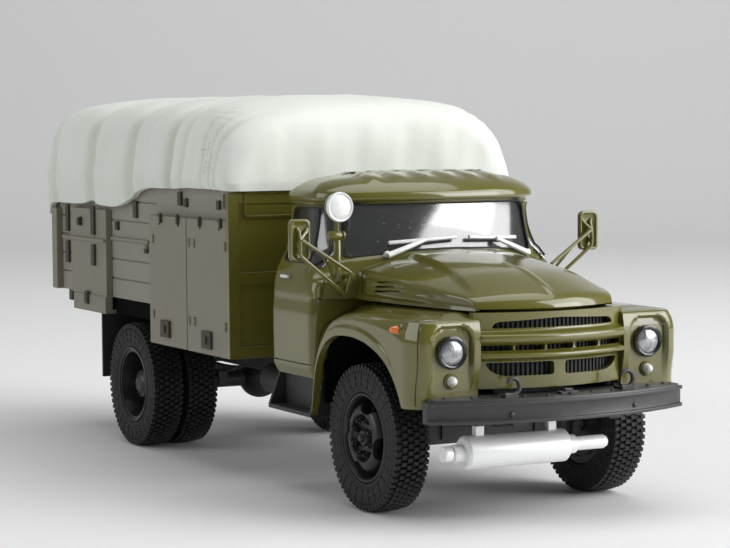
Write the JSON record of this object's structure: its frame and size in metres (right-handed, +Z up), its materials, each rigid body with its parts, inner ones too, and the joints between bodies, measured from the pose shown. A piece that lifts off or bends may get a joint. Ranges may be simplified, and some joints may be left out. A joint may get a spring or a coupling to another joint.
{
  "type": "scale model of a military cargo truck",
  "caption": "Small die-cast style model of a bonneted military cargo truck with side lockers, planked body, moulded canvas cover and rolling wheels.",
  "frame": {"origin": "on the ground under the middle of the model's length and width", "axes": "+X towards the front bumper, +Y to the truck's left, +Z up"},
  "size_m": [0.1596, 0.0592, 0.0669],
  "materials": {
    "chassis_black": "satin black moulding",
    "bright_silver": "silver paint",
    "olive_gloss": "gloss olive enamel",
    "lamp_glass": "clear",
    "lamp_white": "gloss",
    "lamp_amber": "gloss",
    "lamp_red": "gloss",
    "window_glass": "clear",
    "cab_trim": "matt black",
    "body_drab": "satin olive drab moulding",
    "strap_brown": "satin dark brown",
    "cover_white": "matt off-white moulding",
    "flap_rubber": "matt",
    "pin_steel": "plain steel",
    "tyre_rubber": "matt",
    "wheel_black": "satin black moulding"
  },
  "bodies": {
    "truck": {"frame": "chassis_black", "front_axle": "chassis_black", "rear_axle": "chassis_black", "leaf_springs": "chassis_black", "engine": "chassis_black", "drive_shaft": "chassis_black", "fuel_tank": "chassis_black", "air_receiver": "chassis_black", "front_bumper": "chassis_black", "tow_hooks": "chassis_black", "silencer": "bright_silver", "tow_hitch": "chassis_black", "cab_shell": "olive_gloss", "cab_floor": "olive_gloss", "hood": "olive_gloss", "fender_right": "olive_gloss", "fender_left": "olive_gloss", "grille_panel": "olive_gloss", "grille_insert": "chassis_black", "headlamp_bezels": "chassis_black", "headlamp_lenses": "lamp_glass", "parking_lamps": "lamp_white", "side_indicators": "lamp_amber", "windscreen": "window_glass", "side_windows": "window_glass", "rear_window": "window_glass", "seat": "cab_trim", "dashboard": "cab_trim", "steering_wheel": "cab_trim", "side_steps": "chassis_black", "mirrors": "olive_gloss", "wipers": "bright_silver", "spotlight": "olive_gloss", "spotlight_lens": "lamp_glass", "door_handles": "bright_silver", "body_subframe": "chassis_black", "bed_floor": "body_drab", "front_wall": "olive_gloss", "side_boards": "body_drab", "tailboard": "body_drab", "cabinets": "body_drab", "rear_lockers": "body_drab", "body_hardware": "strap_brown", "tarp": "cover_white", "mudflaps": "flap_rubber", "tail_lamps": "lamp_red"},
    "front_wheels": {"front_axle_pin": "pin_steel", "front_tyre_right": "tyre_rubber", "front_tyre_left": "tyre_rubber", "front_wheel_right": "wheel_black", "front_wheel_left": "wheel_black"},
    "rear_wheels": {"rear_axle_pin": "pin_steel", "rear_tyre_right_outer": "tyre_rubber", "rear_tyre_right_inner": "tyre_rubber", "rear_tyre_left_outer": "tyre_rubber", "rear_tyre_left_inner": "tyre_rubber", "rear_wheel_right": "wheel_black", "rear_wheel_left": "wheel_black"}
  },
  "joints": [
    {"name": "front_axle_spin", "type": "hinge", "parent": "truck", "child": "front_wheels", "pos_m": [0.0524, 0, 0.01185], "axis": [0, 1, 0], "continuous": true},
    {"name": "rear_axle_spin", "type": "hinge", "parent": "truck", "child": "rear_wheels", "pos_m": [-0.036, 0, 0.01185], "axis": [0, 1, 0], "continuous": true}
  ]
}
